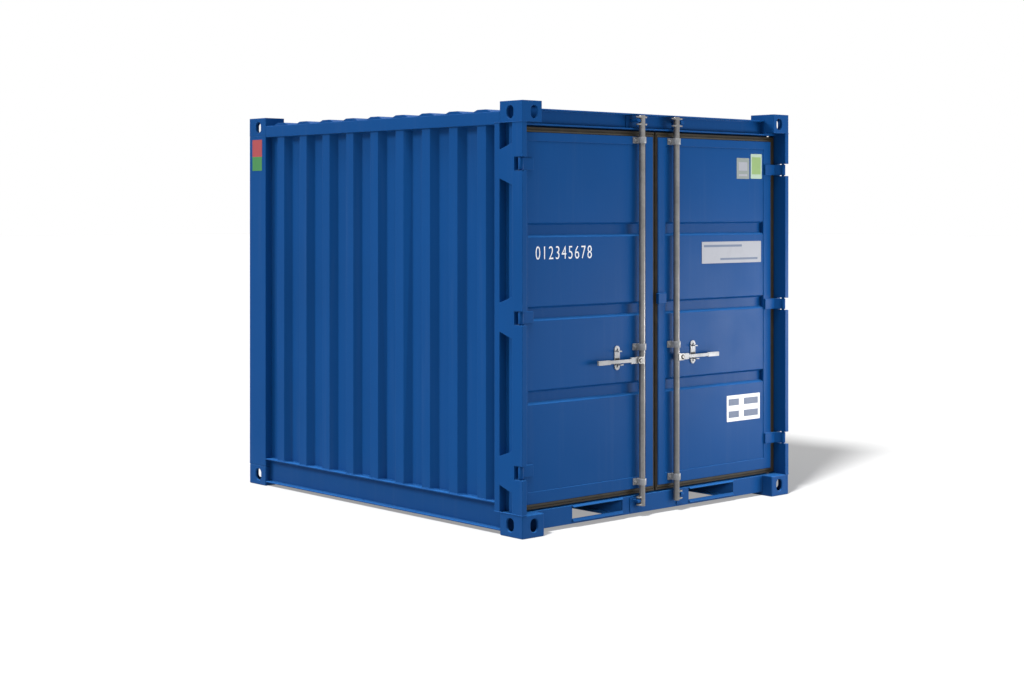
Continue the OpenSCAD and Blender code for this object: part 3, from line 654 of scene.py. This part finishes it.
def door_labels():
    """Bare plates and stickers on the right door, with plain bars or fields where print would be."""
    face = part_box("right_door_panel")[0].y
    on_sticker, on_plate = STICKER_THICK, PLATE_THICK
    labels = (
        ("name_plate", [NAME_PLATE], LABEL_CORNER, PLATE_THICK, 0.0, plate_vinyl),
        ("name_plate_bars", NAME_BARS, BAR_CORNER, PRINT_THICK, on_plate, ink),
        ("weight_label", [WEIGHT_LABEL], LABEL_CORNER, STICKER_THICK, 0.0, white_vinyl),
        ("weight_label_bars", WEIGHT_BARS, BAR_CORNER, PRINT_THICK, on_sticker, ink),
        ("grey_sticker", [GREY_STICKER], LABEL_CORNER, STICKER_THICK, 0.0, grey_vinyl),
        ("grey_sticker_field", GREY_FIELDS, FIELD_CORNER, PRINT_THICK, on_sticker, plate_vinyl),
        ("green_sticker", [GREEN_STICKER], LABEL_CORNER, STICKER_THICK, 0.0, pale_vinyl),
        ("green_sticker_field", [GREEN_FIELD], LABEL_CORNER, PRINT_THICK, on_sticker, green_vinyl),
    )
    for name, boxes, corner, thick, raised, material in labels:
        place = Matrix.Translation((0, face - raised, 0))
        add_label(name, boxes, corner, thick, place, material, "right_door")


def post_patches():
    """Red and green patches near the top of the left rear post."""
    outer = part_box("left_rear_post")[0].x
    place = Matrix.Translation((outer, 0, 0)) @ Matrix.Rotation(-QUARTER_TURN, 4, "Z")
    for name, box, material in (
        ("red_patch", RED_PATCH_BOX, red_patch),
        ("green_patch", GREEN_PATCH_BOX, green_patch),
    ):
        add_label(name, [box], BAR_CORNER, STICKER_THICK, place, material, "frame")


def number_mesh():
    """Flat counting digits in the XY plane, at any size."""
    curve = bpy.data.curves.new("door_number", "FONT")
    curve.body = "012345678"
    curve.extrude = PRINT_THICK
    curve.offset = -0.008
    curve.space_character = 1.25
    text = add_object("door_number_text", curve)
    bpy.context.view_layer.update()
    graph = bpy.context.evaluated_depsgraph_get()
    mesh = bpy.data.meshes.new_from_object(text.evaluated_get(graph))
    bpy.data.objects.remove(text)
    return mesh


def door_number():
    """Plain counting digits in white on the left door."""
    left, right, low, high = NUMBER_BOX
    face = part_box("left_door_panel")[0].y
    mesh = number_mesh()
    points = [v.co.copy() for v in mesh.vertices]
    x_low, x_high = min(p.x for p in points), max(p.x for p in points)
    y_low, y_high = min(p.y for p in points), max(p.y for p in points)
    for vertex, point in zip(mesh.vertices, points):
        x = left + (point.x - x_low) / (x_high - x_low) * (right - left)
        z = low + (point.y - y_low) / (y_high - y_low) * (high - low)
        vertex.co = (x, face - PRINT_THICK - point.z, z)
    mesh.materials.clear()
    mesh.materials.append(white_vinyl)
    digits = add_object("door_number", mesh)
    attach(digits, "left_door")


def floor_screws():
    """Rows of screw heads in the floor boards over the bearers."""
    rows, each_side, pitch, shift, inset = 6, 6, 0.1525, 0.02, 0.025
    radius, height = 0.005, 0.0006
    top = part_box("floor_deck")[1].z
    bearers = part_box("floor_bearers")
    first, last = bearers[0].y + inset, bearers[1].y - inset
    turn = Matrix.Rotation(-QUARTER_TURN, 4, "X")
    bm = bmesh.new()
    for i in range(rows):
        y = first + (last - first) * i / (rows - 1)
        for k in range(-each_side, each_side + 1):
            place = Matrix.Translation((k * pitch + shift, y, top)) @ turn
            add_prism(bm, circle_outline(radius, 10), height, place)
    piece("floor_screws", bm, bright_zinc, "frame")


def floor_material():
    """Grey floor with a glow, which is stronger to the eye and under the container."""
    glow_as_light, glow_seen, glow_under, fade = 0.12, 0.27, 0.07, 0.1
    s = Shader("studio_floor")
    s.finish(Base_Color=FLOOR_GREY, Roughness=0.9, Specular_IOR_Level=0.0)
    level = s.remap(s.seen_directly(), (0.0, 1.0), (glow_as_light, glow_seen))
    under = glow_under
    for name, edge in (("X", cad_high.x), ("Y", cad_high.y)):
        distance = s.math("ABSOLUTE", s.axis(s.place, name))
        under = s.math("MULTIPLY", s.remap(distance, (edge - fade, edge), (1.0, 0.0)), under)
    strength = s.math("ADD", level, under)
    glow = s.add("ShaderNodeEmission", {"Color": LIGHT_WHITE, "Strength": strength})
    both = s.add("ShaderNodeAddShader")
    s.set(both.inputs[0], s.surface.outputs["BSDF"])
    s.set(both.inputs[1], glow.outputs["Emission"])
    s.set(s.tree.nodes["Material Output"].inputs["Surface"], both.outputs["Shader"])
    return s.material


def stage_floor():
    """Wide floor that keeps the shadow."""
    bm = bmesh.new()
    bmesh.ops.create_grid(bm, x_segments=1, y_segments=1, size=FLOOR_HALF)
    floor = add_mesh("studio_floor", bm, floor_material())
    return floor


def studio_world():
    """White to the eye; otherwise a soft light that is stronger from above."""
    horizon, zenith, white = 0.28, 0.75, 1.0
    world = bpy.data.worlds.new("studio")
    bpy.context.scene.world = world
    world.use_nodes = True
    s = NodeTree(world.node_tree)
    background = s.tree.nodes["Background"]
    towards = s.add("ShaderNodeTexCoord").outputs["Generated"]
    sky = s.remap(s.axis(towards, "Z"), (0.0, 1.0), (horizon, zenith))
    s.set(background.inputs["Color"], LIGHT_WHITE)
    s.set(background.inputs["Strength"], s.remap(s.seen_directly(), (0.0, 1.0), (sky, white)))


def add_lamp(name, light, place, towards, lit, unlit):
    """Lamp that lights only the objects in lit or, where that is empty, all but those in unlit."""
    lamp = add_object(name, light)
    lamp.location = place
    lamp.rotation_euler = Vector(towards).to_track_quat("-Z", "Y").to_euler()
    lamp.visible_camera = False
    group = bpy.data.collections.new(name + "_receivers")
    for obj in lit or unlit:
        group.objects.link(obj)
    for member in group.collection_objects:
        member.light_linking.link_state = "INCLUDE" if lit else "EXCLUDE"
    lamp.light_linking.receiver_collection = group
    return lamp


def sun_light(name, level, angle, towards, lit=(), unlit=()):
    """Distant lamp; level is the brightness of a white surface that faces it."""
    light = bpy.data.lights.new(name, "SUN")
    light.energy = level * math.pi
    light.angle = math.radians(angle)
    add_lamp(name, light, SUN_PLACE, towards, lit, unlit)


def area_light(name, place, target, size, power, unlit):
    light = bpy.data.lights.new(name, "AREA")
    light.shape = "RECTANGLE"
    light.size, light.size_y = size
    light.energy = power
    return add_lamp(name, light, place, Vector(target) - Vector(place), (), unlit)


def studio_lights(floor):
    """A key for the shadow, suns for side, top and pockets, softboxes for the doors and inside."""
    pockets = nodes["fork_pocket_plates"]
    sun_light("key", level=2.50, angle=10, towards=(0.80, 0.32, -0.86), lit=[floor])
    sun_light("side", level=0.90, angle=20, towards=(0.70, -0.70, -0.60), unlit=[floor])
    sun_light("top", level=1.40, angle=30, towards=(0.12, 0.12, -1.00), unlit=[floor])
    sun_light("pockets", level=0.80, angle=20, towards=(0.50, 0.72, -0.36), lit=[pockets])
    fill = area_light(
        "door_fill", place=(2.5, -3.9, 0.9), target=(0.6, -1.2, 1.0),
        size=(1.6, 1.6), power=100.0, unlit=[floor],
    )
    fill.visible_glossy = False
    gloss = area_light(
        "door_gloss", place=(4.15, -3.5, 0.65), target=(0.9, -1.2, 1.0),
        size=(1.5, 1.25), power=140.0, unlit=[floor],
    )
    gloss.visible_diffuse = False
    inside = area_light(
        "inside", place=(0.0, 0.1, 2.0), target=(0.0, 0.1, 0.0),
        size=(1.4, 1.4), power=11.0, unlit=[floor],
    )
    inside.visible_glossy = False


def camera():
    data = bpy.data.cameras.new("camera")
    data.sensor_width = SENSOR_MM
    data.lens = FOCAL_PX * SENSOR_MM / IMAGE_WIDTH
    data.shift_x = (IMAGE_WIDTH / 2 - AXIS_PX[0]) / IMAGE_WIDTH
    data.shift_y = (AXIS_PX[1] - IMAGE_HEIGHT / 2) / IMAGE_WIDTH
    data.clip_end = VIEW_DEPTH
    obj = add_object("camera", data)
    obj.location = CAMERA_PLACE
    obj.rotation_euler = (QUARTER_TURN, 0.0, -CAMERA_YAW)
    bpy.context.scene.camera = obj


dress_nodes()
wall_welds()
casting_welds()
hinge_welds()
guide_bolts()
catch_fittings()
handle_washers()
pocket_lips()
door_seals()
door_labels()
post_patches()
door_number()
floor_screws()
studio_world()
studio_lights(stage_floor())
camera()
bpy.context.scene.view_settings.view_transform = "Standard"
